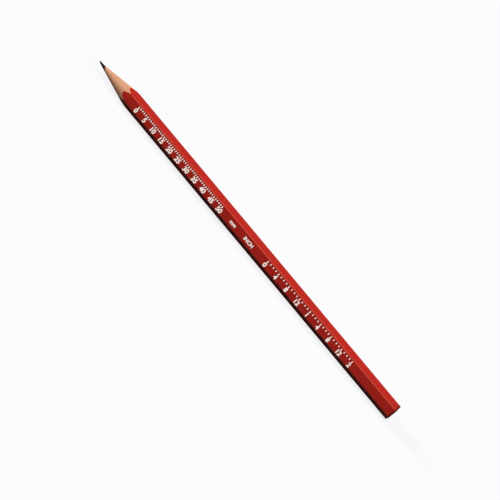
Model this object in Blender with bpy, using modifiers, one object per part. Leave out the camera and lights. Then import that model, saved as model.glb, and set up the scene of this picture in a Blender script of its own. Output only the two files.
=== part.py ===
"""Hexagonal wood-cased marking pencil, sharpened, lying on one of its flats.

The pencil lies along X, with its point at -X and its sawn butt end at +X. The
barrel rests on the plane Z = 0, so one flat faces straight up. Two cedar slats
are glued face to face round a thin core. An undercoat and a red lacquer cover
the barrel. One sharpening cut runs through all of these at once. Its axis lies
a little above and in front of the barrel's, so the scallops that it leaves at
the edge of the lacquer are uneven: the lacquer reaches nearer to the point on
the front upper flat than on the others. The core lies a little forward too.

All sizes are in metres.
"""

import math

import bmesh
import bpy
from mathutils import Matrix

# Whole pencil
LENGTH = 0.178
ACROSS_FLATS = 0.0068
EDGE_RADIUS = 0.0005

# Coats on the barrel
LACQUER_THICKNESS = 0.00008
UNDERCOAT_THICKNESS = 0.00004

# Core, and the glue round it and between the slats. The core lies in the joint
# between the slats, this far in front of the middle of the barrel
CORE_DIAMETER = 0.0015
CORE_FORWARD = 0.0003
GLUE_THICKNESS = 0.00005

# Left free between neighbouring pieces
FIT_GAP = 0.00002

# Sharpened point: whole angle of the cone, width of the flat that is worn on
# its tip, and how far its axis lies above and in front of the barrel's axis
SHARPENING_ANGLE = math.radians(22.3)
POINT_FLAT = 0.0002
POINT_RISE = 0.00015
POINT_FORWARD = 0.00024

# Facets of the round shapes
HEX_SIDES = 6
EDGE_SEGMENTS = 4
CORE_SEGMENTS = 48
CONE_SEGMENTS = 96
SMOOTH_ANGLE = math.radians(30)

# A cutter runs this far past what it cuts
CUTTER_OVERSHOOT = 0.002

# Limit on the rounding of an inner bar, whose edges are tighter than the outer
TIGHTEST_EDGE_RADIUS = 0.00005

# Distances across the flats, from the outside in
LACQUER_INSIDE = ACROSS_FLATS - 2 * LACQUER_THICKNESS
UNDERCOAT_OUTSIDE = LACQUER_INSIDE - 2 * FIT_GAP
UNDERCOAT_INSIDE = UNDERCOAT_OUTSIDE - 2 * UNDERCOAT_THICKNESS
WOOD_ACROSS_FLATS = UNDERCOAT_INSIDE - 2 * FIT_GAP

# Diameters, from the core outwards
SLEEVE_INSIDE = CORE_DIAMETER + 2 * FIT_GAP
SLEEVE_OUTSIDE = SLEEVE_INSIDE + 2 * GLUE_THICKNESS
GROOVE_DIAMETER = SLEEVE_OUTSIDE + 2 * FIT_GAP

# Room between the two slats for the glue line
SLAT_SPACING = GLUE_THICKNESS + 2 * FIT_GAP

# Places along the pencil, measured from the middle of its length
POINT_END = -LENGTH / 2
BUTT_END = LENGTH / 2
BLANK_START = POINT_END - CUTTER_OVERSHOOT

# Materials: sRGB colour, roughness, metallic value
FINISHES = {
    "lacquer": ("#c6281f", 0.30, 0.0),
    "undercoat": ("#f0b694", 0.62, 0.0),
    "cedar": ("#e2a67c", 0.68, 0.0),
    "glue": ("#dcbe88", 0.42, 0.0),
    "core": ("#3a1a14", 0.50, 0.0),
}


def clear_scene():
    """Remove every object that the open scene holds."""
    for item in list(bpy.data.objects):
        bpy.data.objects.remove(item, do_unlink=True)


def linear_colour(hex_code):
    """Turn an sRGB hex code into a linear colour with full alpha."""
    channels = [int(hex_code[i:i + 2], 16) / 255 for i in (1, 3, 5)]
    linear = [c / 12.92 if c <= 0.04045 else ((c + 0.055) / 1.055) ** 2.4 for c in channels]
    return (*linear, 1.0)


def make_material(name):
    """Make one of the finishes as a Principled material."""
    hex_code, roughness, metallic = FINISHES[name]
    material = bpy.data.materials.new(name)
    material.use_nodes = True
    shader = material.node_tree.nodes["Principled BSDF"]
    shader.inputs["Base Color"].default_value = linear_colour(hex_code)
    shader.inputs["Roughness"].default_value = roughness
    shader.inputs["Metallic"].default_value = metallic
    material.diffuse_color = linear_colour(hex_code)
    return material


def make_collection(name):
    """Add a collection to the scene."""
    collection = bpy.data.collections.new(name)
    bpy.context.scene.collection.children.link(collection)
    return collection


class Bench:
    """The pencil's axis, its two collections and the shapes made along it.

    Shapes are made along a local Z that runs from the point to the butt end.
    Local X runs to the rear corner of the barrel, and local Y runs up. The
    axis empty lays all of that down along the scene's X.
    """

    def __init__(self):
        self.parts = make_collection("pencil")
        self.cutters = make_collection("cutters")
        self.materials = {name: make_material(name) for name in FINISHES}
        self.axis = bpy.data.objects.new("pencil_axis", None)
        self.axis.location = (0, 0, ACROSS_FLATS / 2)
        self.axis.rotation_euler = (math.pi / 2, 0, math.pi / 2)
        self.parts.objects.link(self.axis)

    def place(self, name, shape, finish=None):
        """Turn a bmesh into an object on the axis: a part if it has a finish, else a cutter."""
        mesh = bpy.data.meshes.new(name)
        shape.to_mesh(mesh)
        shape.free()
        item = bpy.data.objects.new(name, mesh)
        item.parent = self.axis
        if finish:
            mesh.materials.append(self.materials[finish])
            self.parts.objects.link(item)
        else:
            item.hide_render = True
            item.display_type = "WIRE"
            self.cutters.objects.link(item)
        return item

    def hex_bar(self, name, across_flats, start, end, finish=None):
        """Make a six-sided bar with rounded long edges, two of its flats level."""
        radius = across_flats / (2 * math.cos(math.pi / HEX_SIDES))
        middle = Matrix.Translation((0, 0, (start + end) / 2))
        corner_to_rear = Matrix.Rotation(math.pi / 2, 4, "Z")
        shape = bmesh.new()
        bmesh.ops.create_cone(shape, cap_ends=True, segments=HEX_SIDES, radius1=radius,
                              radius2=radius, depth=end - start, matrix=middle @ corner_to_rear)
        weight = shape.edges.layers.float.new("bevel_weight_edge")
        for edge in shape.edges:
            runs_along = edge.verts[0].co.z != edge.verts[1].co.z
            edge[weight] = 1.0 if runs_along else 0.0
        bar = self.place(name, shape, finish)
        inset = (ACROSS_FLATS - across_flats) / 2
        rounding = bar.modifiers.new("long_edges", "BEVEL")
        rounding.limit_method = "WEIGHT"
        rounding.width = max(EDGE_RADIUS - inset, TIGHTEST_EDGE_RADIUS) * math.tan(math.pi / HEX_SIDES)
        rounding.segments = EDGE_SEGMENTS
        return bar

    def round_bar(self, name, diameter, start, end, finish=None):
        """Make a round bar on the core's line."""
        shape = bmesh.new()
        bmesh.ops.create_cone(shape, cap_ends=True, segments=CORE_SEGMENTS, radius1=diameter / 2,
                              radius2=diameter / 2, depth=end - start,
                              matrix=Matrix.Translation((-CORE_FORWARD, 0, (start + end) / 2)))
        bar = self.place(name, shape, finish)
        bar.data.shade_smooth()
        bar.data.set_sharp_from_angle(angle=SMOOTH_ANGLE)
        return bar

    def block(self, name, low, high, finish=None):
        """Make a block between two opposite corners."""
        size = [top - bottom for bottom, top in zip(low, high)]
        centre = [(top + bottom) / 2 for bottom, top in zip(low, high)]
        shape = bmesh.new()
        bmesh.ops.create_cube(shape, size=1.0,
                              matrix=Matrix.Translation(centre) @ Matrix.Diagonal((*size, 1.0)))
        return self.place(name, shape, finish)

    def sharpening_cone(self):
        """Make the space inside a sharpener: a cone that opens from the point past the butt end."""
        depth = LENGTH + CUTTER_OVERSHOOT
        slope = math.tan(SHARPENING_ANGLE / 2)
        middle = Matrix.Translation((-POINT_FORWARD, POINT_RISE, POINT_END + depth / 2))
        shape = bmesh.new()
        bmesh.ops.create_cone(shape, cap_ends=True, segments=CONE_SEGMENTS, radius1=POINT_FLAT / 2,
                              radius2=POINT_FLAT / 2 + depth * slope, depth=depth, matrix=middle)
        return self.place("sharpening_cone", shape)


def cut(piece, operation, cutter):
    """Add a Boolean to a piece: DIFFERENCE takes the cutter away, INTERSECT keeps what is in it."""
    step = piece.modifiers.new(cutter.name, "BOOLEAN")
    step.operation = operation
    step.solver = "EXACT"
    step.object = cutter


def make_coat(bench, name, outside, inside, finish):
    """Make one coat of the barrel: a thin six-sided tube."""
    coat = bench.hex_bar(name, outside, BLANK_START, BUTT_END, finish)
    hollow = bench.hex_bar(name + "_hollow", inside, BLANK_START - CUTTER_OVERSHOOT,
                           BUTT_END + CUTTER_OVERSHOOT)
    cut(coat, "DIFFERENCE", hollow)
    return coat


def make_slat(bench, name, side, groove):
    """Make one half of the wood, above (side 1) or below (side -1) the glued joint."""
    slat = bench.hex_bar(name, WOOD_ACROSS_FLATS, BLANK_START, BUTT_END, "cedar")
    near = side * SLAT_SPACING / 2
    far = side * (ACROSS_FLATS / 2 + CUTTER_OVERSHOOT)
    reach = ACROSS_FLATS
    half = bench.block(name + "_half",
                       (-reach, min(near, far), BLANK_START - CUTTER_OVERSHOOT),
                       (reach, max(near, far), BUTT_END + CUTTER_OVERSHOOT))
    cut(slat, "INTERSECT", half)
    cut(slat, "DIFFERENCE", groove)
    return slat


def make_glue_line(bench, name, side, wood):
    """Make the glue between the slats, behind (side 1) or in front of (side -1) the core."""
    near = side * GROOVE_DIAMETER / 2 - CORE_FORWARD
    far = side * ACROSS_FLATS
    line = bench.block(name,
                       (min(near, far), -GLUE_THICKNESS / 2, BLANK_START),
                       (max(near, far), GLUE_THICKNESS / 2, BUTT_END), "glue")
    cut(line, "INTERSECT", wood)
    return line


def make_core_sleeve(bench):
    """Make the film of glue that holds the core in its groove."""
    sleeve = bench.round_bar("core_glue_sleeve", SLEEVE_OUTSIDE, BLANK_START, BUTT_END, "glue")
    hollow = bench.round_bar("core_glue_sleeve_hollow", SLEEVE_INSIDE,
                             BLANK_START - CUTTER_OVERSHOOT, BUTT_END + CUTTER_OVERSHOOT)
    cut(sleeve, "DIFFERENCE", hollow)
    return sleeve


def main():
    """Build the pencil blank piece by piece, then sharpen every piece with the same cone."""
    clear_scene()
    bench = Bench()
    groove = bench.round_bar("core_groove", GROOVE_DIAMETER, BLANK_START - CUTTER_OVERSHOOT,
                             BUTT_END + CUTTER_OVERSHOOT)
    wood = bench.hex_bar("wood_outline", WOOD_ACROSS_FLATS, BLANK_START - CUTTER_OVERSHOOT,
                         BUTT_END + CUTTER_OVERSHOOT)
    pieces = [
        bench.round_bar("lead_core", CORE_DIAMETER, BLANK_START, BUTT_END, "core"),
        make_core_sleeve(bench),
        make_slat(bench, "upper_slat", 1, groove),
        make_slat(bench, "lower_slat", -1, groove),
        make_glue_line(bench, "front_glue_line", -1, wood),
        make_glue_line(bench, "rear_glue_line", 1, wood),
        make_coat(bench, "undercoat", UNDERCOAT_OUTSIDE, UNDERCOAT_INSIDE, "undercoat"),
        make_coat(bench, "red_lacquer", ACROSS_FLATS, LACQUER_INSIDE, "lacquer"),
    ]
    cone = bench.sharpening_cone()
    for piece in pieces:
        cut(piece, "INTERSECT", cone)


main()
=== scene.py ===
"""Looks of a hexagonal wood-cased marking pencil that lies on one of its flats.

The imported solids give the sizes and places. This script lays finer skins over
them, stamps a plain measuring scale on the front flat, and sets up a pale floor,
soft light and the camera. Lengths are in metres unless a name says otherwise,
the pencil lies along X with its point at -X, and +Z is up.
"""

from __future__ import annotations

import logging
import math
from dataclasses import dataclass
from enum import Enum
from typing import Any, ClassVar, Sequence

import bmesh
import bpy
import numpy as np
from mathutils import Matrix, Vector


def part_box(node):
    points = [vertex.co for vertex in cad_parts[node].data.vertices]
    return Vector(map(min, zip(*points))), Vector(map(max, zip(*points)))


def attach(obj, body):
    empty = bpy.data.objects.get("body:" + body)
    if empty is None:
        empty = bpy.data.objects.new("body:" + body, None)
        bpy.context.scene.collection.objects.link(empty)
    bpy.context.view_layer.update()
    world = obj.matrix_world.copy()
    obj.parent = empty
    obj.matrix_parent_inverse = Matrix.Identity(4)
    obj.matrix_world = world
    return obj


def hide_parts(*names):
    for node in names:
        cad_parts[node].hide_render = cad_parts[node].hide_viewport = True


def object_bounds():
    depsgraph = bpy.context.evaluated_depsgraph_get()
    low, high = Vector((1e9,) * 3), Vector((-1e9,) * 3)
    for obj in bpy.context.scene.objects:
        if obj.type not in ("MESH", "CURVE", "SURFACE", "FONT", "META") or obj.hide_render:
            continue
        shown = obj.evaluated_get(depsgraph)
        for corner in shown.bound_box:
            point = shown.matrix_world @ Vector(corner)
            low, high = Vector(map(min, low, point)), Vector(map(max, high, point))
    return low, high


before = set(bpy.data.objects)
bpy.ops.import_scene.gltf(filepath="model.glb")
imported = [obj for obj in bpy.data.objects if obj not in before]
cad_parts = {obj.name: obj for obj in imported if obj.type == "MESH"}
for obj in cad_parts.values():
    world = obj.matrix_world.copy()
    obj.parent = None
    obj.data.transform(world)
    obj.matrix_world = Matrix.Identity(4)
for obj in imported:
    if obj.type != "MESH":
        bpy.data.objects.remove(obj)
CAD_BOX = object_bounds()

log = logging.getLogger("pencil")

BODY = "root"
MM = 0.001
INCH = 25.4 * MM
HEX_SIDES = 6
HALF_SIDE = math.pi / HEX_SIDES

# Edges of a skin that turn more than this look sharp, and the rest is smooth
SHARP_ANGLE = math.radians(28)


def linear(hex_code: str) -> tuple[float, float, float, float]:
    """Turn an sRGB hex code into the linear colour that a shader socket takes.

    Args:
        hex_code: colour as "#rrggbb".

    Returns:
        Linear red, green and blue with an alpha of 1.
    """
    channels = [int(hex_code[i:i + 2], 16) / 255 for i in (1, 3, 5)]
    curve = [c / 12.92 if c <= 0.04045 else ((c + 0.055) / 1.055) ** 2.4 for c in channels]
    return (curve[0], curve[1], curve[2], 1.0)


def add_node(tree: bpy.types.NodeTree, kind: str, feeds: dict[str | int, Any] | None = None,
             **settings: Any) -> bpy.types.Node:
    """Add a node to a tree, set it up and feed its inputs.

    Args:
        tree: shader or geometry node tree.
        kind: the node's type name.
        feeds: input name or number to a constant or to another node's output.
        **settings: the node's own properties.

    Returns:
        The new node.
    """
    node = tree.nodes.new(kind)
    for name, value in settings.items():
        setattr(node, name, value)
    for key, value in (feeds or {}).items():
        if isinstance(value, bpy.types.NodeSocket):
            tree.links.new(value, node.inputs[key])
        else:
            node.inputs[key].default_value = value
    return node


def seen_rays(tree: bpy.types.NodeTree) -> bpy.types.NodeSocket:
    """Tell the rays that make the picture from those that only carry light.

    Args:
        tree: the node tree of a material or the world.

    Returns:
        1 for a ray from the camera, straight, mirrored or through glass, and 0 for others.
    """
    rays = add_node(tree, "ShaderNodeLightPath").outputs
    seen = rays["Is Camera Ray"]
    for kind in ("Is Glossy Ray", "Is Transmission Ray"):
        seen = add_node(tree, "ShaderNodeMath", {0: seen, 1: rays[kind]}, operation="MAXIMUM").outputs[0]
    return seen


def axis_distance(tree: bpy.types.NodeTree, y: float, z: float) -> bpy.types.NodeSocket:
    """Measure how far a surface lies from a line along the pencil.

    Args:
        tree: the material's node tree.
        y: sideways place of the line.
        z: height of the line.

    Returns:
        The distance.
    """
    place = add_node(tree, "ShaderNodeTexCoord").outputs["Object"]
    section = add_node(tree, "ShaderNodeMapping", {
        "Vector": place, "Location": (0.0, -y, -z), "Scale": (0.0, 1.0, 1.0)})
    length = add_node(tree, "ShaderNodeVectorMath", {0: section.outputs[0]}, operation="LENGTH")
    return length.outputs["Value"]


def lay_tone(tree: bpy.types.NodeTree, under: bpy.types.NodeSocket | tuple[float, ...], tone: str,
             measure: bpy.types.NodeSocket, start: float, end: float, cover: float = 1.0
             ) -> bpy.types.NodeSocket:
    """Lay a tone over a colour, more or less of it as a measure goes from start to end.

    Args:
        tree: the material's node tree.
        under: the colour below.
        tone: the tone as "#rrggbb".
        measure: what decides how much of the tone shows.
        start: measure at which it begins to show.
        end: measure at which it shows most.
        cover: share of it that shows there.

    Returns:
        The new colour.
    """
    share = add_node(tree, "ShaderNodeMapRange", {
        "Value": measure, "From Min": start, "From Max": end, "To Max": cover})
    laid = add_node(tree, "ShaderNodeMix", {
        "Factor": share.outputs["Result"], "A": under, "B": linear(tone)}, data_type="RGBA")
    return laid.outputs[2]


@dataclass(frozen=True)
class PencilSizes:
    """Sizes that every piece shares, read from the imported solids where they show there.

    Attributes:
        point_x: place of the point along the pencil.
        butt_x: place of the butt end along the pencil.
        axis_z: height of the barrel's axis.
        core_y: sideways place of the core.
        lacquer_flats: distance across the flats of the lacquer.
        undercoat_flats: distance across the flats of the undercoat.
        wood_flats: distance across the flats of the wood.
        groove_radius: radius of the groove for the core and its glue.
        core_radius: radius of the core.
        slat_spacing: room for the glue between the slats.
        edge_radius: rounding of the lacquer's long edges.
        end_radius: rounding of the butt end's edge.
        sharpening_angle: full angle of the sharpened cone.
        point_flat: width of the blunt end of the cone.
        point_y: sideways place of the cone's axis.
        point_rise: height of the cone's axis above the barrel's.
    """

    point_x: float
    butt_x: float
    axis_z: float
    core_y: float
    lacquer_flats: float
    undercoat_flats: float
    wood_flats: float
    groove_radius: float
    core_radius: float
    slat_spacing: float
    edge_radius: float = 0.5 * MM
    end_radius: float = 0.10 * MM
    sharpening_angle: float = math.radians(22.3)
    point_flat: float = 0.20 * MM
    point_y: float = -0.24 * MM
    point_rise: float = 0.15 * MM

    @classmethod
    def from_frame(cls) -> PencilSizes:
        """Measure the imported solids.

        Returns:
            Their sizes.
        """
        barrel_low, barrel_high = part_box("red_lacquer")
        coat_low, coat_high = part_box("undercoat")
        core_low, core_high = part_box("lead_core")
        sleeve_low, sleeve_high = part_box("core_glue_sleeve")
        upper_low, upper_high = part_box("upper_slat")
        lower_low, lower_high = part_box("lower_slat")
        return cls(
            point_x=core_low.x,
            butt_x=barrel_high.x,
            axis_z=(barrel_low.z + barrel_high.z) / 2,
            core_y=(core_low.y + core_high.y) / 2,
            lacquer_flats=barrel_high.z - barrel_low.z,
            undercoat_flats=coat_high.z - coat_low.z,
            wood_flats=upper_high.z - lower_low.z,
            groove_radius=(sleeve_high.z - sleeve_low.z) / 2,
            core_radius=(core_high.z - core_low.z) / 2,
            slat_spacing=upper_low.z - lower_high.z,
        )

    @property
    def slope(self) -> float:
        """How fast the sharpened cone widens along the pencil."""
        return math.tan(self.sharpening_angle / 2)

    @property
    def corner_radius(self) -> float:
        """Distance from the axis to the rounded long edges of the lacquer."""
        return (self.lacquer_flats / 2 - self.edge_radius) / math.cos(HALF_SIDE) + self.edge_radius

    @property
    def apex_x(self) -> float:
        """Where the cone would end if its tip were not worn flat."""
        return self.point_x - self.point_flat / 2 / self.slope

    def cone_x(self, y: np.ndarray, z: np.ndarray) -> np.ndarray:
        """Find where the sharpening cut meets lines that run along the pencil.

        Args:
            y: sideways places of the lines.
            z: heights of the lines above the barrel's axis.

        Returns:
            The cut's place along X on each line.
        """
        return self.apex_x + np.hypot(y - self.point_y, z - self.point_rise) / self.slope

    def end_x(self, depth: float) -> float:
        """Where the sanded butt end lies, this deep under the face of the lacquer."""
        short = max(self.end_radius - depth, 0.0)
        return self.butt_x - self.end_radius + math.sqrt(self.end_radius ** 2 - short ** 2)

    def depth_of(self, flats: float) -> float:
        """Depth under the face of the lacquer of a layer with this distance across its flats."""
        return (self.lacquer_flats - flats) / 2

    def edge_radius_at(self, flats: float) -> float:
        """Rounding of the long edges on a layer with this distance across its flats."""
        return self.edge_radius - self.depth_of(flats)

    def hex_radius(self, angle: np.ndarray, flats: float) -> np.ndarray:
        """Radius of the rounded hexagon, with two of its corners level with the axis.

        Args:
            angle: directions round the axis, from the rear corner up.
            flats: distance across the flats.

        Returns:
            Distance from the axis in each direction.
        """
        rounding = self.edge_radius_at(flats)
        from_corner = np.abs((angle + HALF_SIDE) % (2 * HALF_SIDE) - HALF_SIDE)
        centre = (flats / 2 - rounding) / math.cos(HALF_SIDE)
        reach = rounding ** 2 - (centre * np.sin(from_corner)) ** 2
        on_arc = centre * np.cos(from_corner) + np.sqrt(np.maximum(reach, 0))
        on_flat = flats / 2 / np.cos(HALF_SIDE - from_corner)
        flat_end = (flats / 2 - rounding) * math.tan(HALF_SIDE)
        return np.where(flats / 2 * np.tan(HALF_SIDE - from_corner) <= flat_end, on_flat, on_arc)


@dataclass(frozen=True)
class Grain:
    """A cloudy pattern with features of a real size, stretched along the pencil.

    Attributes:
        along_mm: length of a feature along X.
        across_mm: width of a feature in Y and Z.
        detail: number of finer steps in it.
        roughness: strength of the finer steps.
        distortion: how far it is swirled.
    """

    along_mm: float
    across_mm: float
    detail: float
    roughness: float = 0.5
    distortion: float = 0.0

    def add(self, tree: bpy.types.NodeTree) -> bpy.types.NodeSocket:
        """Add the pattern to a material.

        Args:
            tree: the material's node tree.

        Returns:
            Its strength, from 0 to 1.
        """
        place = add_node(tree, "ShaderNodeTexCoord").outputs["Object"]
        scale = [1 / (size * MM) for size in (self.along_mm, self.across_mm, self.across_mm)]
        sized = add_node(tree, "ShaderNodeMapping", {"Vector": place, "Scale": scale})
        noise = add_node(tree, "ShaderNodeTexNoise", {
            "Vector": sized.outputs["Vector"], "Scale": 1.0, "Detail": self.detail,
            "Roughness": self.roughness, "Distortion": self.distortion})
        return noise.outputs["Fac"]


@dataclass(frozen=True, kw_only=True)
class Finish:
    """A surface in two tones that follow one grain, with or without a fine relief.

    Attributes:
        name: the real material's name.
        tones: colours where the grain is weak and where it is strong.
        grain: the pattern.
        change: strengths of the grain between which one tone turns into the other.
        roughness: roughness where the grain is weak and where it is strong.
        specular: strength of the reflection from the clear surface.
        metallic: 1 for bare metal and 0 for none.
        relief: patterns that together make the surface uneven.
        relief_mm: height of the relief.
        relief_share: how much of that height is used.
    """

    name: str
    tones: tuple[str, str]
    grain: Grain
    change: tuple[float, float] = (0.0, 1.0)
    roughness: tuple[float, float]
    specular: float = 0.5
    metallic: float = 0.0
    relief: tuple[Grain, ...] = ()
    relief_mm: float = 0.0
    relief_share: float = 0.5

    def colour(self, tree: bpy.types.NodeTree, strength: bpy.types.NodeSocket) -> bpy.types.NodeSocket:
        """Add the tones.

        Args:
            tree: the material's node tree.
            strength: the grain.

        Returns:
            The colour.
        """
        weak, strong = self.tones
        return lay_tone(tree, linear(weak), strong, strength, *self.change)

    def make(self) -> bpy.types.Material:
        """Build the material.

        Returns:
            The material.
        """
        material = bpy.data.materials.new(self.name)
        material.use_nodes = True
        tree = material.node_tree
        shader = tree.nodes["Principled BSDF"].inputs
        strength = self.grain.add(tree)
        tree.links.new(self.colour(tree, strength), shader["Base Color"])
        shader["Specular IOR Level"].default_value = self.specular
        shader["Metallic"].default_value = self.metallic
        low, high = self.roughness
        if low == high:
            shader["Roughness"].default_value = low
        else:
            gloss = add_node(tree, "ShaderNodeMapRange", {"Value": strength, "To Min": low, "To Max": high})
            tree.links.new(gloss.outputs["Result"], shader["Roughness"])
        if self.relief:
            height, *others = [grain.add(tree) for grain in self.relief]
            for other in others:
                height = add_node(tree, "ShaderNodeMath", {0: height, 1: other}, operation="ADD").outputs[0]
            bump = add_node(tree, "ShaderNodeBump", {
                "Height": height, "Strength": self.relief_share, "Distance": self.relief_mm * MM})
            tree.links.new(bump.outputs["Normal"], shader["Normal"])
        return material


@dataclass(frozen=True, kw_only=True)
class LacquerFinish(Finish):
    """Red nitrocellulose lacquer, drawn on through a die in many thin coats.

    The eye sees a deep clean red with a soft gloss. The coats follow the wood,
    so faint streaks and ripples run along the barrel. Over the long edges the
    lacquer is thinner and lighter, a tone that also serves as a painted
    highlight there, and a painted shade darkens it at the butt end.

    Attributes:
        sizes: the pencil's sizes.
        edge_colour: tone on the long edges, for thinner lacquer and a painted highlight.
        edge_depth_mm: how far below the long edges that tone begins.
        rim_colour: painted shade at the butt end.
        rim_mm: distances from the butt end at which that painted shade begins and is full.
    """

    sizes: PencilSizes
    name: str = "red_lacquer"
    tones: tuple[str, str] = ("#bb2820", "#c83026")
    grain: Grain = Grain(45.0, 0.9, 3.0, roughness=0.55)
    roughness: tuple[float, float] = (0.26, 0.38)
    specular: float = 0.03
    relief: tuple[Grain, ...] = (Grain(2.4, 0.8, 2.0),)
    relief_mm: float = 0.004
    # Lighter tone on the long edges: thinner lacquer and a painted highlight
    edge_colour: str = "#dc5440"
    edge_depth_mm: float = 0.06
    # Dark tone at the butt end: painted shade on the end's edge
    rim_colour: str = "#260605"
    rim_mm: tuple[float, float] = (1.20, 0.05)

    def colour(self, tree: bpy.types.NodeTree, strength: bpy.types.NodeSocket) -> bpy.types.NodeSocket:
        """Lay the lighter edges, partly a painted highlight, and the painted shade at the butt over the
        streaks.

        Args:
            tree: the material's node tree.
            strength: the streaks.

        Returns:
            The colour.
        """
        corner, butt = self.sizes.corner_radius, self.sizes.butt_x
        radius = axis_distance(tree, 0.0, self.sizes.axis_z)
        # Painted highlight along the long edges, which also stands for thinner lacquer there
        edge_highlighted = lay_tone(tree, super().colour(tree, strength), self.edge_colour, radius,
                         corner - self.edge_depth_mm * MM, corner)
        place = add_node(tree, "ShaderNodeTexCoord").outputs["Object"]
        along = add_node(tree, "ShaderNodeSeparateXYZ", {0: place}).outputs["X"]
        # Painted shade over the last mm of the butt end
        start, end = (butt - distance * MM for distance in self.rim_mm)
        return lay_tone(tree, edge_highlighted, self.rim_colour, along, start, end)


@dataclass(frozen=True, kw_only=True)
class UndercoatFinish(Finish):
    """Matt filler coat under the lacquer, seen only as a pale hairline round the scallops."""

    name: str = "filler_undercoat"
    tones: tuple[str, str] = ("#e8a685", "#f6bd9c")
    grain: Grain = Grain(0.75, 0.25, 4.0)
    roughness: tuple[float, float] = (0.62, 0.62)


# The fibres of the wood are about 0.04 mm wide, and are drawn wider to show
CEDAR_FIBRES = Grain(7.0, 0.16, 3.0, roughness=0.6)


@dataclass(frozen=True, kw_only=True)
class CedarFinish(Finish):
    """Incense cedar, freshly cut by a sharpener's blade and left bare.

    The eye sees a warm pinkish tan with soft growth bands, fine darker fibres
    that run along the pencil, and a dull surface with faint blade marks. The
    blade has smeared a little of the core over the wood next to it.

    Attributes:
        sizes: the pencil's sizes.
        fibre_colour: tone of the fibres.
        fibre_change: strengths of the pattern between which a fibre comes out.
        fibre_cover: share of that tone in a fibre.
        smear_colour: tone of the smear.
        smear_mm: width of the smear, outside the groove.
        smear_cover: share of that tone at the groove.
    """

    sizes: PencilSizes
    name: str = "incense_cedar"
    tones: tuple[str, str] = ("#d5956d", "#e5ac8d")
    grain: Grain = Grain(18.2, 1.3, 2.0, distortion=0.6)
    roughness: tuple[float, float] = (0.68, 0.68)
    specular: float = 0.02
    relief: tuple[Grain, ...] = (Grain(0.35, 2.8, 2.0), CEDAR_FIBRES)
    relief_mm: float = 0.012
    relief_share: float = 0.6
    fibre_colour: str = "#a9673f"
    fibre_change: tuple[float, float] = (0.52, 0.78)
    fibre_cover: float = 0.55
    smear_colour: str = "#43190f"
    smear_mm: float = 0.12
    smear_cover: float = 0.8

    def colour(self, tree: bpy.types.NodeTree, strength: bpy.types.NodeSocket) -> bpy.types.NodeSocket:
        """Lay the fibres and the smear over the growth bands.

        Args:
            tree: the material's node tree.
            strength: the growth bands.

        Returns:
            The colour.
        """
        grained = lay_tone(tree, super().colour(tree, strength), self.fibre_colour,
                           CEDAR_FIBRES.add(tree), *self.fibre_change, self.fibre_cover)
        groove = self.sizes.groove_radius
        distance = axis_distance(tree, self.sizes.core_y, self.sizes.axis_z)
        return lay_tone(tree, grained, self.smear_colour, distance,
                        groove + self.smear_mm * MM, groove, self.smear_cover)


@dataclass(frozen=True, kw_only=True)
class CoreFinish(Finish):
    """Marking core of clay, wax and dark pigment, scraped by the sharpener.

    The eye sees a red-black with a waxy sheen, fine rings from the blade and a
    few lighter grains. The grains are about 0.02 mm wide, and are drawn wider
    to show.
    """

    name: str = "marking_core"
    tones: tuple[str, str] = ("#240806", "#4c1a12")
    grain: Grain = Grain(0.09, 0.09, 2.0)
    change: tuple[float, float] = (0.5, 0.75)
    roughness: tuple[float, float] = (0.45, 0.62)
    specular: float = 0.03
    relief: tuple[Grain, ...] = (Grain(0.22, 2.2, 1.0),)
    relief_mm: float = 0.006


@dataclass(frozen=True, kw_only=True)
class GlueFinish(Finish):
    """Dried wood glue: a pale amber film, a little darker where it is thick."""

    name: str = "dried_wood_glue"
    tones: tuple[str, str] = ("#c49c62", "#e2c896")
    grain: Grain = Grain(2.4, 0.6, 3.0)
    roughness: tuple[float, float] = (0.42, 0.42)


@dataclass(frozen=True, kw_only=True)
class StainedGlueFinish(GlueFinish):
    """Wood glue next to the core: dark, because the blade has smeared the core over it."""

    name: str = "stained_wood_glue"
    tones: tuple[str, str] = ("#43190f", "#6b3522")
    specular: float = 0.1


@dataclass(frozen=True, kw_only=True)
class FoilFinish(Finish):
    """White stamping foil with a metal backing, pressed hot into the lacquer.

    The eye sees a warm white that stays bright where the lacquer is shaded,
    with a soft sheen and a slightly mottled cover.
    """

    name: str = "white_stamping_foil"
    tones: tuple[str, str] = ("#f0dfd2", "#fbf6ec")
    grain: Grain = Grain(0.2, 0.2, 3.0)
    change: tuple[float, float] = (0.3, 0.6)
    roughness: tuple[float, float] = (0.42, 0.42)
    metallic: float = 0.85


@dataclass(frozen=True)
class BoardFinish:
    """Matt white studio board.

    It looks white to the camera and in reflections and takes the pencil's
    shadow, but throws little light back up under the pencil. A glow makes the
    shadow paler.

    Attributes:
        colour: how it looks.
        bounce_colour: how it looks to the light that it throws back.
        glow: share of its look that needs no light.
    """

    colour: str = "#fcfcfd"
    bounce_colour: str = "#18181a"
    glow: float = 0.86

    def make(self) -> bpy.types.Material:
        """Build the material.

        Returns:
            The material.
        """
        material = bpy.data.materials.new("studio_board")
        material.use_nodes = True
        tree = material.node_tree
        tree.nodes.remove(tree.nodes["Principled BSDF"])
        bounce = add_node(tree, "ShaderNodeBsdfDiffuse", {"Color": linear(self.bounce_colour)})
        board = add_node(tree, "ShaderNodeBsdfDiffuse", {"Color": linear(self.colour)})
        white = add_node(tree, "ShaderNodeEmission", {"Color": linear(self.colour), "Strength": 1.0})
        lit = add_node(tree, "ShaderNodeMixShader", {
            0: seen_rays(tree), 1: bounce.outputs[0], 2: board.outputs[0]})
        rays = add_node(tree, "ShaderNodeLightPath")
        glow = add_node(tree, "ShaderNodeMath", {
            0: rays.outputs["Is Camera Ray"], 1: self.glow}, operation="MULTIPLY")
        pale = add_node(tree, "ShaderNodeMixShader", {
            0: glow.outputs[0], 1: lit.outputs[0], 2: white.outputs[0]})
        tree.links.new(pale.outputs[0], tree.nodes["Material Output"].inputs["Surface"])
        return material


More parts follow.
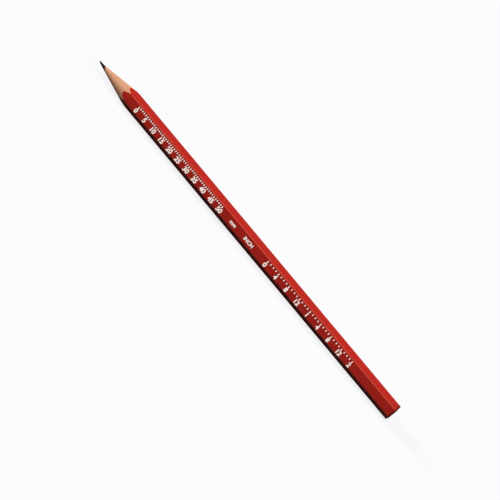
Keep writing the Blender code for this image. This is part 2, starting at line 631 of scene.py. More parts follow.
def closed_tube(name: str, rings: np.ndarray) -> bpy.types.Mesh:
    """Join rings of points, each ring to the next, and close both ends.

    Args:
        name: the mesh's name.
        rings: rings by points by 3.

    Returns:
        The closed mesh.
    """
    shape = bmesh.new()
    grid = [[shape.verts.new(point) for point in ring] for ring in rings]
    for here, following in zip(grid, grid[1:]):
        for j in range(len(here)):
            shape.faces.new((here[j - 1], here[j], following[j], following[j - 1]))
    shape.faces.new(reversed(grid[0]))
    shape.faces.new(grid[-1])
    mesh = bpy.data.meshes.new(name)
    shape.to_mesh(mesh)
    shape.free()
    return mesh


def finish_mesh(name: str, mesh: bpy.types.Mesh, material: bpy.types.Material | None) -> bpy.types.Object:
    """Turn a mesh that is already in place into a smooth piece that rides on the pencil.

    Args:
        name: the piece's name.
        mesh: its mesh, in the pencil's frame.
        material: its finish, or None where the mesh has it already.

    Returns:
        The piece.
    """
    mesh.name = name
    shape = bmesh.new()
    shape.from_mesh(mesh)
    bmesh.ops.recalc_face_normals(shape, faces=shape.faces)
    # A long thin shell can still come out with its faces inwards
    if shape.calc_volume(signed=True) < 0:
        bmesh.ops.reverse_faces(shape, faces=shape.faces)
    shape.to_mesh(mesh)
    shape.free()
    if material is not None:
        mesh.materials.clear()
        mesh.materials.append(material)
    mesh.shade_smooth()
    mesh.set_sharp_from_angle(angle=SHARP_ANGLE)
    piece = bpy.data.objects.new(name, mesh)
    bpy.context.scene.collection.objects.link(piece)
    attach(piece, BODY)
    log.info("%s: %d faces", name, len(mesh.polygons))
    return piece


class NodeShape:
    """A geometry node tree with named inputs, which turns into plain meshes.

    Attributes:
        tree: the node tree.
        keys: name of an input to the key that a modifier knows it by.
        inputs: the inputs by name, as nodes in the tree read them.
    """

    def __init__(self, name: str, sockets: dict[str, Sequence[str]]) -> None:
        """Make the tree, its named inputs and its finish.

        Args:
            name: the tree's name.
            sockets: socket type to the names of the inputs of that type.
        """
        self.tree = bpy.data.node_groups.new(name, "GeometryNodeTree")
        face = self.tree.interface
        face.new_socket("Geometry", in_out="OUTPUT", socket_type="NodeSocketGeometry")
        self.keys = {
            label: face.new_socket(label, in_out="INPUT", socket_type=kind).identifier
            for kind, labels in {**sockets, "NodeSocketMaterial": ["Material"]}.items()
            for label in labels}
        self.inputs = add_node(self.tree, "NodeGroupInput").outputs

    def close(self, geometry: bpy.types.NodeSocket) -> None:
        """End the tree: make instances real, give them the finish and send them out.

        Args:
            geometry: what the tree has made.
        """
        real = add_node(self.tree, "GeometryNodeRealizeInstances", {"Geometry": geometry})
        dressed = add_node(self.tree, "GeometryNodeSetMaterial", {
            "Geometry": real.outputs[0], "Material": self.inputs["Material"]})
        add_node(self.tree, "NodeGroupOutput", {0: dressed.outputs[0]})

    def mesh(self, name: str, values: dict[str, Any]) -> bpy.types.Mesh:
        """Run the tree once.

        Args:
            name: the mesh's name.
            values: a value for each named input.

        Returns:
            The result as a plain mesh.
        """
        holder = bpy.data.objects.new(name + "_maker", bpy.data.meshes.new(name + "_empty"))
        bpy.context.scene.collection.objects.link(holder)
        maker = holder.modifiers.new("shape", "NODES")
        maker.node_group = self.tree
        for label, value in values.items():
            maker[self.keys[label]] = value
        graph = bpy.context.evaluated_depsgraph_get()
        made = bpy.data.meshes.new_from_object(holder.evaluated_get(graph))
        holder.modifiers.remove(maker)
        bpy.data.objects.remove(holder, do_unlink=True)
        made.name = name
        return made


class Wall(Enum):
    """Which face of a coat is meant, by the word that its inputs in the tree start with."""

    OUTER = "Outer"
    INNER = "Inner"


@dataclass(frozen=True)
class Coat:
    """One coat on the barrel.

    Attributes:
        name: its piece.
        node: the solid that it replaces.
        slot: the material slot of that solid; not used.
        material: its finish.
        outer_flats: distance across the flats of its outer face.
        inner_flats: distance across the flats of its inner face.
        fray: how uneven its front edge is.
        chip: how far it has chipped back on the long edges.
    """

    name: str
    node: str
    slot: str
    material: bpy.types.Material
    outer_flats: float
    inner_flats: float
    fray: float
    chip: float


@dataclass
class Barrel:
    """The coats on the outside of the barrel: undercoat and red lacquer.

    Both follow one rule, so one tree makes them: a rounded hexagon is carried
    along the pencil from the sharpening cut, which gives the scallops, to the
    butt end.

    Attributes:
        sizes: the pencil's sizes.
        columns: points round the barrel.
        wall_rows: rows along the outer wall.
        end_rows: rows over the butt end.
        edge_steps: steps in the rounding of a long edge.
        fray: how uneven the front edge of the lacquer is.
        fray_length: size of a feature in that edge.
        fray_detail: number of finer steps in it.
        chip: how far the lacquer has chipped back on the long edges.
        chip_depth: how far below the long edges the chips begin.
        weld: distance within which the ends of the bent grid are joined.
    """

    sizes: PencilSizes
    columns: int = 480
    wall_rows: int = 40
    end_rows: int = 4
    edge_steps: int = 12
    fray: float = 0.06 * MM
    fray_length: float = 0.45 * MM
    fray_detail: float = 2.0
    chip: float = 0.80 * MM
    chip_depth: float = 0.16 * MM
    weld: float = 0.0005 * MM

    # Rows of the grid that are the front of the inner and of the outer wall
    INNER_FRONT: ClassVar[float] = 1.0
    OUTER_FRONT: ClassVar[float] = 2.0

    def coat_tree(self) -> NodeShape:
        """Build the tree for a coat.

        A square grid is bent round. Its first row is the butt end of the inner
        wall, and the next two are the front of the inner and the outer wall.
        From there the rows run along the outer wall and over the rounded end,
        and the last row meets the first.

        Returns:
            The tree.
        """
        coat = NodeShape("barrel_coat", {
            "NodeSocketInt": ("Points Round", "Rows"),
            "NodeSocketFloat": (
                "Wall End", "Last Row", "Outer Corner", "Outer Rounding", "Inner Corner", "Inner Rounding",
                "Outer Depth", "Inner Depth", "Cone Reach", "Front Low", "Front High",
                "Chip", "Chip Start", "Chip End", "End Radius", "End Square", "End Start"),
            "NodeSocketVector": ("Cone Axis", "Barrel Axis")})
        tree, size = coat.tree, coat.inputs
        sheet = add_node(tree, "GeometryNodeMeshGrid", {
            "Size X": 1.0, "Size Y": 1.0, "Vertices X": size["Points Round"], "Vertices Y": size["Rows"]})
        place = add_node(tree, "ShaderNodeSeparateXYZ", {
            0: add_node(tree, "GeometryNodeInputPosition").outputs[0]})
        around = add_node(tree, "ShaderNodeMapRange", {
            "Value": place.outputs["X"], "From Min": -0.5, "From Max": 0.5})
        row = add_node(tree, "ShaderNodeMapRange", {
            "Value": place.outputs["Y"], "From Min": -0.5, "From Max": 0.5, "To Max": size["Last Row"]})

        # Share of the way to the butt end: 1 on the first row, 0 at the cut, then up to 1 again
        back = add_node(tree, "ShaderNodeMapRange", {
            "Value": row.outputs[0], "From Max": self.INNER_FRONT, "To Min": 1.0, "To Max": 0.0})
        along = add_node(tree, "ShaderNodeMapRange", {
            "Value": row.outputs[0], "From Min": self.OUTER_FRONT, "From Max": size["Wall End"],
            "To Min": back.outputs[0]})

        # Share of the way from the outer to the inner face: 1 on the inner wall, then 0, then up to 1 again
        across = add_node(tree, "ShaderNodeMapRange", {
            "Value": row.outputs[0], "From Min": self.INNER_FRONT, "From Max": self.OUTER_FRONT,
            "To Min": 1.0, "To Max": 0.0})
        inward = add_node(tree, "ShaderNodeMapRange", {
            "Value": row.outputs[0], "From Min": size["Wall End"], "From Max": size["Last Row"],
            "To Min": across.outputs[0]})
        section = add_node(tree, "ShaderNodeMix", {
            "Factor": inward.outputs[0],
            "A": self.outline(coat, Wall.OUTER, around.outputs[0]),
            "B": self.outline(coat, Wall.INNER, around.outputs[0])}, data_type="VECTOR")
        point = add_node(tree, "ShaderNodeSeparateXYZ", {0: section.outputs[1]})
        x = add_node(tree, "ShaderNodeMapRange", {
            "Value": along.outputs[0], "To Min": self.front_place(coat, section.outputs[1]),
            "To Max": self.end_place(coat, inward.outputs[0])})
        target = add_node(tree, "ShaderNodeCombineXYZ", {
            0: x.outputs[0], 1: point.outputs["X"], 2: point.outputs["Y"]})
        shaped = add_node(tree, "GeometryNodeSetPosition", {
            "Geometry": sheet.outputs["Mesh"], "Position": target.outputs[0], "Offset": size["Barrel Axis"]})
        closed = add_node(tree, "GeometryNodeMergeByDistance", {
            "Geometry": shaped.outputs[0], "Distance": self.weld})
        coat.close(closed.outputs[0])
        return coat

    def outline(self, coat: NodeShape, wall: Wall, around: bpy.types.NodeSocket) -> bpy.types.NodeSocket:
        """Add a rounded hexagon to the tree and read the point a share of the way round it.

        Args:
            coat: the tree.
            wall: the face that has this outline.
            around: share of the way round, from 0 to 1.

        Returns:
            The point on the outline, with Y of the pencil as X and Z as Y.
        """
        hexagon = add_node(coat.tree, "GeometryNodeCurvePrimitiveCircle", {
            "Resolution": HEX_SIDES, "Radius": coat.inputs[f"{wall.value} Corner"]})
        rounded = add_node(coat.tree, "GeometryNodeFilletCurve", {
            "Curve": hexagon.outputs[0], "Radius": coat.inputs[f"{wall.value} Rounding"],
            "Count": self.edge_steps}, mode="POLY")
        found = add_node(coat.tree, "GeometryNodeSampleCurve", {
            "Curves": rounded.outputs[0], "Factor": around}, mode="FACTOR", use_all_curves=True)
        return found.outputs["Position"]

    def front_place(self, coat: NodeShape, section: bpy.types.NodeSocket) -> bpy.types.NodeSocket:
        """Add the place of the sharpening cut, slightly frayed and chipped back on the long edges.

        Args:
            coat: the tree.
            section: points of the outline.

        Returns:
            The cut's place along X at each point.
        """
        tree, size = coat.tree, coat.inputs
        fray = add_node(tree, "ShaderNodeTexNoise", {
            "Vector": section, "Scale": 1 / self.fray_length, "Detail": self.fray_detail})
        frayed = add_node(tree, "ShaderNodeMapRange", {
            "Value": fray.outputs[0], "To Min": size["Front Low"], "To Max": size["Front High"]})
        from_barrel_axis = add_node(tree, "ShaderNodeVectorMath", {0: section}, operation="LENGTH")
        chip = add_node(tree, "ShaderNodeMapRange", {
            "Value": from_barrel_axis.outputs["Value"], "From Min": size["Chip Start"],
            "From Max": size["Chip End"], "To Max": size["Chip"]}, interpolation_type="SMOOTHSTEP")
        start = add_node(tree, "ShaderNodeMath", {
            0: frayed.outputs[0], 1: chip.outputs[0]}, operation="ADD")
        from_cone_axis = add_node(tree, "ShaderNodeVectorMath", {
            0: section, 1: size["Cone Axis"]}, operation="DISTANCE")
        return add_node(tree, "ShaderNodeMath", {
            0: from_cone_axis.outputs["Value"], 1: size["Cone Reach"], 2: start.outputs[0]},
            operation="MULTIPLY_ADD").outputs[0]

    @staticmethod
    def end_place(coat: NodeShape, inward: bpy.types.NodeSocket) -> bpy.types.NodeSocket:
        """Add the place of the butt end, whose edge is sanded round.

        Args:
            coat: the tree.
            inward: share of the way from the outer to the inner face.

        Returns:
            The end's place along X at each point.
        """
        tree, size = coat.tree, coat.inputs
        depth = add_node(tree, "ShaderNodeMapRange", {
            "Value": inward, "To Min": size["Outer Depth"], "To Max": size["Inner Depth"]})
        short = add_node(tree, "ShaderNodeMath", {
            0: size["End Radius"], 1: depth.outputs[0]}, operation="SUBTRACT", use_clamp=True)
        square = add_node(tree, "ShaderNodeMath", {
            0: short.outputs[0], 1: short.outputs[0]}, operation="MULTIPLY")
        rest = add_node(tree, "ShaderNodeMath", {
            0: size["End Square"], 1: square.outputs[0]}, operation="SUBTRACT")
        reach = add_node(tree, "ShaderNodeMath", {0: rest.outputs[0]}, operation="SQRT")
        return add_node(tree, "ShaderNodeMath", {
            0: size["End Start"], 1: reach.outputs[0]}, operation="ADD").outputs[0]

    def values(self, coat: Coat) -> dict[str, Any]:
        """Work out the tree's inputs for one coat.

        Args:
            coat: the coat.

        Returns:
            A value for each named input.
        """
        sizes = self.sizes
        wall_end = self.OUTER_FRONT + self.wall_rows
        last_row = wall_end + self.end_rows
        corner_share = 2 * math.cos(HALF_SIDE)
        return {
            "Points Round": self.columns + 1,
            "Rows": int(last_row) + 1,
            "Wall End": wall_end,
            "Last Row": last_row,
            "Outer Corner": coat.outer_flats / corner_share,
            "Outer Rounding": sizes.edge_radius_at(coat.outer_flats),
            "Outer Depth": sizes.depth_of(coat.outer_flats),
            "Inner Corner": coat.inner_flats / corner_share,
            "Inner Rounding": sizes.edge_radius_at(coat.inner_flats),
            "Inner Depth": sizes.depth_of(coat.inner_flats),
            "Cone Reach": 1 / sizes.slope,
            "Front Low": sizes.apex_x - coat.fray / 2,
            "Front High": sizes.apex_x + coat.fray / 2,
            "Chip": coat.chip,
            "Chip Start": sizes.corner_radius - self.chip_depth,
            "Chip End": sizes.corner_radius,
            "End Radius": sizes.end_radius,
            "End Square": sizes.end_radius ** 2,
            "End Start": sizes.butt_x - sizes.end_radius,
            "Cone Axis": (sizes.point_y, sizes.point_rise, 0.0),
            "Barrel Axis": (0.0, 0.0, sizes.axis_z),
            "Material": coat.material,
        }

    def build(self, lacquer: bpy.types.Material, undercoat: bpy.types.Material) -> None:
        """Make both coats and put them in the place of their solids.

        Args:
            lacquer: finish of the outer coat.
            undercoat: finish of the inner coat.
        """
        sizes = self.sizes
        tree = self.coat_tree()
        coats = (
            Coat("lacquer_skin", node="red_lacquer", slot="lacquer", material=lacquer,
                 outer_flats=sizes.lacquer_flats, inner_flats=sizes.undercoat_flats,
                 fray=self.fray, chip=self.chip),
            Coat("undercoat_skin", node="undercoat", slot="undercoat", material=undercoat,
                 outer_flats=sizes.undercoat_flats, inner_flats=sizes.wood_flats, fray=0.0, chip=0.0),
        )
        for coat in coats:
            piece = finish_mesh(coat.name, tree.mesh(coat.name, self.values(coat)), None)
            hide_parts(coat.node)


class Side(Enum):
    """Which half of the wood a slat is: above or below the glued joint."""

    UPPER = 1
    LOWER = -1


@dataclass
class Casing:
    """The two grooved cedar slats, sharpened to a cone and sawn off square.

    Attributes:
        sizes: the pencil's sizes.
        columns: points round a slat.
        cone_rows: rows along the cone, from the groove to the outside.
        barrel_rows: rows along the outside.
        end_rows: rows over the edge of the butt end.
    """

    sizes: PencilSizes
    columns: int = 181
    cone_rows: int = 40
    barrel_rows: int = 12
    end_rows: int = 4

    def slat_mesh(self, side: Side) -> bpy.types.Mesh:
        """Loft one slat round its half of the barrel.

        Args:
            side: which half.

        Returns:
            The slat's mesh, closed and in place.
        """
        sizes = self.sizes
        angle = np.linspace(0, math.pi, self.columns)
        lowest = sizes.slat_spacing / 2

        def rim(radius: np.ndarray | float, middle_y: float = 0.0) -> tuple[np.ndarray, np.ndarray]:
            """Half outline at a radius, flat along the joint."""
            return middle_y + radius * np.cos(angle), np.maximum(radius * np.sin(angle), lowest)

        outer_y, outer_z = rim(sizes.hex_radius(angle, sizes.wood_flats))
        inner_y, inner_z = rim(sizes.groove_radius, sizes.core_y)
        wood_depth = sizes.depth_of(sizes.wood_flats)
        end = sizes.end_x(wood_depth)
        loop = []
        for share in np.linspace(0, 1, self.cone_rows):
            y = inner_y + share * (outer_y - inner_y)
            z = side.value * (inner_z + share * (outer_z - inner_z))
            loop.append((sizes.cone_x(y, z), y, z))
        front = loop[-1][0]
        for share in np.linspace(0, 1, self.barrel_rows)[1:]:
            loop.append((front + share * (end - front), outer_y, side.value * outer_z))
        for depth in np.linspace(wood_depth, sizes.end_radius, self.end_rows)[1:]:
            y, z = rim(sizes.hex_radius(angle, sizes.lacquer_flats - 2 * depth))
            loop.append((np.full_like(y, sizes.end_x(depth)), y, side.value * z))
        loop.append((np.full_like(inner_y, sizes.butt_x), inner_y, side.value * inner_z))
        points = np.array(loop)
        points[:, 2] += sizes.axis_z
        return closed_tube(f"{side.name.lower()}_slat", points.transpose(2, 0, 1))

    def build(self, cedar: bpy.types.Material) -> None:
        """Make both slats and put them in the place of their solids.

        Args:
            cedar: their finish.
        """
        for side in Side:
            node = f"{side.name.lower()}_slat"
            piece = finish_mesh(f"cedar_{node}", self.slat_mesh(side), cedar)
            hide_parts(node)


@dataclass
class MarkingCore:
    """The core: a thin round rod whose end is sharpened with the wood and then worn blunt.

    Attributes:
        sizes: the pencil's sizes.
        columns: points round the core.
        cone_rows: rows along its cone.
        barrel_rows: rows along the rod.
        tip_rows: rows over the blunt tip.
        nose: length of the blunt tip.
        swell: how much wider than the cone the worn end is.
        lift: how much higher than the cone it is.
        wear_length: how far along the pencil the wear reaches.
    """

    sizes: PencilSizes
    columns: int = 96
    cone_rows: int = 24
    barrel_rows: int = 8
    tip_rows: int = 10
    nose: float = 1.00 * MM
    swell: float = 0.18 * MM
    lift: float = 0.27 * MM
    wear_length: float = 1.50 * MM

    def wear(self, x: np.ndarray | float) -> np.ndarray | float:
        """How far the point is worn at a place along the pencil, from 1 at its end to 0."""
        return np.exp(-((x - self.sizes.point_x) / self.wear_length) ** 2)

    def core_mesh(self) -> bpy.types.Mesh:
        """Turn the core, with its tip on the cone's axis and its rod beside the barrel's.

        Returns:
            The core's mesh, closed and in place.
        """
        sizes = self.sizes
        angle = np.linspace(0, 2 * math.pi, self.columns, endpoint=False)
        across, up = np.cos(angle), np.sin(angle)

        # How far the side of the rod lies from the cone's axis in each direction
        side, drop = sizes.core_y - sizes.point_y, -sizes.point_rise
        toward = side * across + drop * up
        reach = toward + np.sqrt(sizes.core_radius ** 2 - side ** 2 - drop ** 2 + toward ** 2)

        start = sizes.point_flat / 2 + self.nose * sizes.slope
        nose_x = sizes.point_x + self.nose
        nose_radius = start + self.swell * self.wear(nose_x)
        rings = []
        for share in np.linspace(0, 1, self.tip_rows + 1)[1:]:
            x = sizes.point_x + self.nose * share ** 2
            rings.append((np.full(self.columns, x), np.full(self.columns, nose_radius * share)))
        for share in np.linspace(0, 1, self.cone_rows)[1:]:
            radius = start + share * (reach - start)
            x = sizes.apex_x + radius / sizes.slope
            rings.append((x, radius + self.swell * self.wear(x)))
        front, full = rings[-1]
        for share in np.linspace(0, 1, self.barrel_rows)[1:]:
            rings.append((front + share * (sizes.butt_x - front), full))
        middle_y, middle_z = sizes.point_y, sizes.point_rise + sizes.axis_z
        points = np.array([
            (x, middle_y + radius * across, middle_z + self.lift * self.wear(x) + radius * up)
            for x, radius in rings])
        return closed_tube("marking_core", points.transpose(0, 2, 1))

    def build(self, core: bpy.types.Material) -> None:
        """Make the core and put it in the place of its solid.

        Args:
            core: its finish.
        """
        piece = finish_mesh("marking_core", self.core_mesh(), core)
        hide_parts("lead_core")


@dataclass
class GlueFilms:
    """The films of glue, whose solids already have the right shape.

    Attributes:
        sleeve: the film round the core.
        lines: the films between the slats.
    """

    sleeve: str = "core_glue_sleeve"
    lines: tuple[str, ...] = ("front_glue_line", "rear_glue_line")

    def build(self, glue: bpy.types.Material, stained: bpy.types.Material) -> None:
        """Dress the solids.

        Args:
            glue: finish of the lines between the slats.
            stained: finish of the sleeve round the core.
        """
        for name in (self.sleeve, *self.lines):
            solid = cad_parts[name]
            solid.data.materials.clear()
            solid.data.materials.append(stained if name == self.sleeve else glue)
            log.info("%s: dressed", name)


@dataclass(frozen=True)
class Ruling:
    """One run of the measuring scale.

    Attributes:
        name: what the run is called.
        start: place of its first mark along the pencil.
        pitch: distance from mark to mark.
        count: number of marks.
        middle_every: marks from one middle mark to the next.
        long_every: marks from one long mark to the next.
        number_every: marks from one number to the next.
        whole: marks to a whole unit, at which the count starts again.
        unit: the unit's name.
        unit_middle: place of that name along the pencil.
    """

    name: str
    start: float
    pitch: float
    count: int
    middle_every: int
    long_every: int
    number_every: int
    whole: int
    unit: str
    unit_middle: float

    def label(self, mark: int) -> str | None:
        """Number a mark: whole units by themselves, and the parts of a unit from each whole one.

        Args:
            mark: which mark it is, from 0.

        Returns:
            The number, or None where there is none.
        """
        if mark % self.number_every:
            return None
        units, parts = divmod(mark, self.whole)
        return str(parts or units)


@dataclass(frozen=True)
class Word:
    """A number or a unit's name on the scale.

    Attributes:
        text: what it says.
        middle: place of its middle along the pencil.
        base: place of its base line up the flat.
        height: height of a capital letter.
        swell: how far its outline is moved out, which makes it bolder.
    """

    text: str
    middle: float
    base: float
    height: float
    swell: float


@dataclass
class PrintedScale:
    """A plain measuring scale, stamped in white foil on the front upper flat.

    Attributes:
        sizes: the pencil's sizes.
        thickness: thickness of the foil.
        lift: height of its back above the lacquer.
        mark_width: width of a mark.
        mark_top: line up the flat that the marks hang from.
        short_mark: length of a plain mark.
        middle_mark: length of a middle mark.
        long_mark: length of a long mark.
        number_height: height of a number.
        number_base: place of its base line up the flat.
        number_swell: how far its outline is moved out.
        unit_height: height of a capital letter in a unit's name.
        unit_base: place of its base line up the flat.
        unit_swell: how far its outline is moved out.
        cap_share: height of a capital letter as a share of the type's size.
        weld: distance within which the points of a letter are joined.
    """

    sizes: PencilSizes
    thickness: float = 0.012 * MM
    lift: float = 0.004 * MM
    mark_width: float = 0.38 * MM
    mark_top: float = 1.35 * MM
    short_mark: float = 0.70 * MM
    middle_mark: float = 0.95 * MM
    long_mark: float = 0.95 * MM
    number_height: float = 1.85 * MM
    number_base: float = -1.65 * MM
    number_swell: float = 0.09 * MM
    unit_height: float = 1.45 * MM
    unit_base: float = -0.75 * MM
    unit_swell: float = 0.06 * MM
    cap_share: float = 0.70
    weld: float = 0.00012 * MM

    @staticmethod
    def rulings() -> tuple[Ruling, Ruling]:
        """Lay out the runs.

        Returns:
            50 mm in millimetres, and 2 inches in sixteenths.
        """
        sixteenths = 16
        return (
            Ruling("millimetre", start=-65.3 * MM, pitch=MM, count=51, middle_every=5, long_every=10,
                   number_every=5, whole=1, unit="mm", unit_middle=-7.6 * MM),
            Ruling("inch", start=12.4 * MM, pitch=INCH / sixteenths, count=33, middle_every=4,
                   long_every=sixteenths, number_every=4, whole=sixteenths,
                   unit="INCH", unit_middle=1.7 * MM),
        )

    def face_matrix(self) -> Matrix:
        """Find the place of the flat.

        Returns:
            A frame with X along the pencil, Y up the flat and Z out of it.
        """
        out = Vector((0, -math.cos(HALF_SIDE), math.sin(HALF_SIDE)))
        up = Vector((0, math.sin(HALF_SIDE), math.cos(HALF_SIDE)))
        centre = Vector((0, 0, self.sizes.axis_z)) + out * (self.sizes.lacquer_flats / 2 + self.lift)
        turn = Matrix((Vector((1, 0, 0)), up, out)).transposed().to_4x4()
        return Matrix.Translation(centre) @ turn

    def mark_tree(self) -> NodeShape:
        """Build the tree for a row of marks that hang from one line.

        Returns:
            The tree.
        """
        marks = NodeShape("scale_marks", {
            "NodeSocketInt": ("Count", "Middle Every", "Long Every"),
            "NodeSocketFloat": ("Start", "Pitch", "Top", "Short", "Middle", "Long", "Width", "Thickness")})
        tree, size = marks.tree, marks.inputs
        first = add_node(tree, "ShaderNodeCombineXYZ", {0: size["Start"], 1: size["Top"]})
        step = add_node(tree, "ShaderNodeCombineXYZ", {0: size["Pitch"]})
        line = add_node(tree, "GeometryNodeMeshLine", {
            "Count": size["Count"], "Start Location": first.outputs[0], "Offset": step.outputs[0]})
        index = add_node(tree, "GeometryNodeInputIndex").outputs[0]
        length = size["Short"]
        for kind in ("Middle", "Long"):
            past = add_node(tree, "ShaderNodeMath", {0: index, 1: size[f"{kind} Every"]}, operation="MODULO")
            here = add_node(tree, "ShaderNodeMath", {0: past.outputs[0], 1: 0.5}, operation="LESS_THAN")
            length = add_node(tree, "ShaderNodeMix", {
                "Factor": here.outputs[0], "A": length, "B": size[kind]}).outputs[0]

        # A block of unit size that hangs from the line and stands on the flat
        block = add_node(tree, "GeometryNodeMeshCube")
        hung = add_node(tree, "GeometryNodeTransform", {
            "Geometry": block.outputs["Mesh"], "Translation": (0.0, -0.5, 0.5)})
        scale = add_node(tree, "ShaderNodeCombineXYZ", {0: size["Width"], 1: length, 2: size["Thickness"]})
        copies = add_node(tree, "GeometryNodeInstanceOnPoints", {
            "Points": line.outputs[0], "Instance": hung.outputs[0], "Scale": scale.outputs[0]})
        marks.close(copies.outputs[0])
        return marks

    def writing(self, name: str, words: Sequence[Word]) -> bpy.types.Mesh:
        """Set short words on the flat.

        Args:
            name: the mesh's name.
            words: the words.

        Returns:
            One mesh with all of them, still flat.
        """
        shape = bmesh.new()
        for word in words:
            curve = bpy.data.curves.new("word", "FONT")
            curve.body = word.text
            curve.align_x = "CENTER"
            curve.size = word.height / self.cap_share
            curve.offset = word.swell
            curve.extrude = self.thickness / 2
            holder = bpy.data.objects.new("word", curve)
            bpy.context.scene.collection.objects.link(holder)
            graph = bpy.context.evaluated_depsgraph_get()
            letters = bpy.data.meshes.new_from_object(holder.evaluated_get(graph))
            letters.transform(Matrix.Translation((word.middle, word.base, self.thickness / 2)))
            shape.from_mesh(letters)
            bpy.data.objects.remove(holder, do_unlink=True)
            bpy.data.curves.remove(curve)
            bpy.data.meshes.remove(letters)
        bmesh.ops.remove_doubles(shape, verts=shape.verts, dist=self.weld)
        mesh = bpy.data.meshes.new(name)
        shape.to_mesh(mesh)
        shape.free()
        return mesh

    def build(self, foil: bpy.types.Material) -> None:
        """Stamp both runs, with their numbers and unit names.

        Args:
            foil: their finish.
        """
        face = self.face_matrix()
        tree = self.mark_tree()
        for ruling in self.rulings():
            marks = tree.mesh(f"{ruling.name}_marks", {
                "Count": ruling.count, "Start": ruling.start, "Pitch": ruling.pitch,
                "Middle Every": ruling.middle_every, "Long Every": ruling.long_every,
                "Top": self.mark_top, "Width": self.mark_width, "Thickness": self.thickness,
                "Short": self.short_mark, "Middle": self.middle_mark, "Long": self.long_mark,
                "Material": foil})
            words = [
                Word(text, ruling.start + mark * ruling.pitch, self.number_base, self.number_height,
                     self.number_swell)
                for mark in range(ruling.count) if (text := ruling.label(mark))]
            words.append(Word(ruling.unit, ruling.unit_middle, self.unit_base, self.unit_height,
                              self.unit_swell))
            numbers = self.writing(f"{ruling.name}_numbers", words)
            for mesh in (marks, numbers):
                mesh.transform(face)
                finish_mesh(mesh.name, mesh, foil)


@dataclass(frozen=True)
class Lamp:
    """A soft lamp far away.

    Attributes:
        name: what the lamp is called.
        strength: light on a surface that faces it.
        spread: how wide it looks, which softens its shadow.
        lean: how far it stands from straight above, toward the butt end or, below 0, the point.
        glare: whether it shows in glossy surfaces.
    """

    name: str
    strength: float
    spread: float
    lean: float
    glare: bool


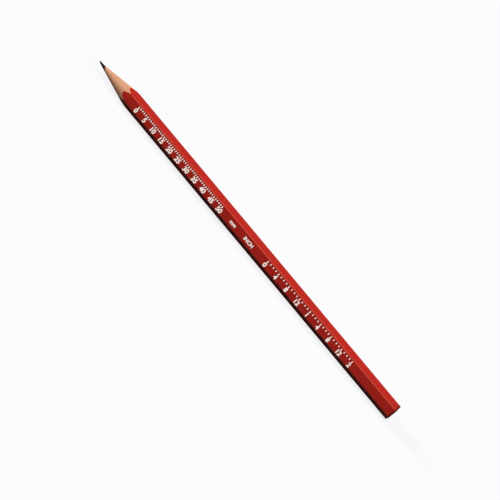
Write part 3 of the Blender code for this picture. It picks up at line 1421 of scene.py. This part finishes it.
@dataclass
class Studio:
    """Pale floor, soft light from above and from both ends, and the camera.

    Attributes:
        floor_width: width of the floor.
        lamps: the lamps.
        fill_strength: light from all round.
        azimuth: how far the camera stands round from straight in front.
        elevation: how far it stands above the floor.
        roll: how far it is turned about its line of sight.
        distance: how far it stands from the place that it looks at.
        lens: its focal length in mm.
        aim: that place, along and across the pencil.
    """

    floor_width: float = 6.0
    lamps: tuple[Lamp, ...] = (
        Lamp("soft_ceiling", strength=1.65, spread=math.radians(40), lean=0.0, glare=True),
        Lamp("point_light", strength=4.20, spread=math.radians(18), lean=math.radians(-76), glare=False),
        Lamp("end_fill", strength=3.20, spread=math.radians(15), lean=math.radians(86), glare=False),
    )
    fill_strength: float = 0.035
    azimuth: float = math.radians(-3.19)
    elevation: float = math.radians(40.0)
    roll: float = math.radians(52.16)
    distance: float = 1.40
    lens: float = 260.20
    aim: tuple[float, float] = (4.407 * MM, -3.289 * MM)

    def build_floor(self, board: BoardFinish) -> None:
        """Lay the floor at the pencil's lowest point.

        Args:
            board: its finish.
        """
        shape = bmesh.new()
        bmesh.ops.create_grid(shape, x_segments=1, y_segments=1, size=self.floor_width / 2)
        mesh = bpy.data.meshes.new("floor")
        shape.to_mesh(mesh)
        shape.free()
        mesh.materials.append(board.make())
        mesh.transform(Matrix.Translation((0, 0, CAD_BOX[0].z)))
        floor = bpy.data.objects.new("floor", mesh)
        bpy.context.scene.collection.objects.link(floor)

    def build_light(self, backdrop: str) -> None:
        """Hang the lamps and fill in a little from all round.

        Args:
            backdrop: colour of the room behind the pencil, as the camera and reflections show it.
        """
        for lamp in self.lamps:
            light = bpy.data.lights.new(lamp.name, "SUN")
            light.energy = lamp.strength
            light.angle = lamp.spread
            holder = bpy.data.objects.new(lamp.name, light)
            holder.rotation_euler = (0.0, lamp.lean, 0.0)
            holder.visible_glossy = lamp.glare
            bpy.context.scene.collection.objects.link(holder)
        world = bpy.data.worlds.new("studio")
        world.use_nodes = True
        tree = world.node_tree
        room = tree.nodes["Background"]
        room.inputs["Color"].default_value = linear("#ffffff")
        room.inputs["Strength"].default_value = self.fill_strength
        behind = add_node(tree, "ShaderNodeBackground", {"Color": linear(backdrop), "Strength": 1.0})
        mix = add_node(tree, "ShaderNodeMixShader", {
            0: seen_rays(tree), 1: room.outputs[0], 2: behind.outputs[0]})
        tree.links.new(mix.outputs[0], tree.nodes["World Output"].inputs["Surface"])
        bpy.context.scene.world = world

    def build_camera(self, sizes: PencilSizes) -> None:
        """Look down on the front of the pencil, turned so that it points to the upper left.

        Args:
            sizes: the pencil's sizes.
        """
        level = Vector((math.cos(self.azimuth), math.sin(self.azimuth), 0))
        outward = Vector((math.sin(self.azimuth), -math.cos(self.azimuth), 0))
        back = outward * math.cos(self.elevation) + Vector((0, 0, math.sin(self.elevation)))
        upright = back.cross(level)
        right = level * math.cos(self.roll) + upright * math.sin(self.roll)
        up = upright * math.cos(self.roll) - level * math.sin(self.roll)
        data = bpy.data.cameras.new("camera")
        data.lens = self.lens
        camera = bpy.data.objects.new("camera", data)
        stand = Vector((*self.aim, sizes.axis_z)) + back * self.distance
        camera.matrix_world = Matrix.Translation(stand) @ Matrix((right, up, back)).transposed().to_4x4()
        bpy.context.scene.collection.objects.link(camera)
        bpy.context.scene.camera = camera

    def build(self, sizes: PencilSizes) -> None:
        """Set up the studio.

        Args:
            sizes: the pencil's sizes.
        """
        board = BoardFinish()
        self.build_floor(board)
        self.build_light(board.colour)
        self.build_camera(sizes)
        bpy.context.scene.view_settings.view_transform = "Standard"


def main() -> None:
    """Dress the pencil and set up the studio."""
    logging.basicConfig(level=logging.INFO, format="%(name)s %(message)s")
    sizes = PencilSizes.from_frame()
    Barrel(sizes).build(LacquerFinish(sizes=sizes).make(), UndercoatFinish().make())
    Casing(sizes).build(CedarFinish(sizes=sizes).make())
    MarkingCore(sizes).build(CoreFinish().make())
    GlueFilms().build(GlueFinish().make(), StainedGlueFinish().make())
    PrintedScale(sizes).build(FoilFinish().make())
    Studio().build(sizes)


if __name__ == "__main__":
    main()
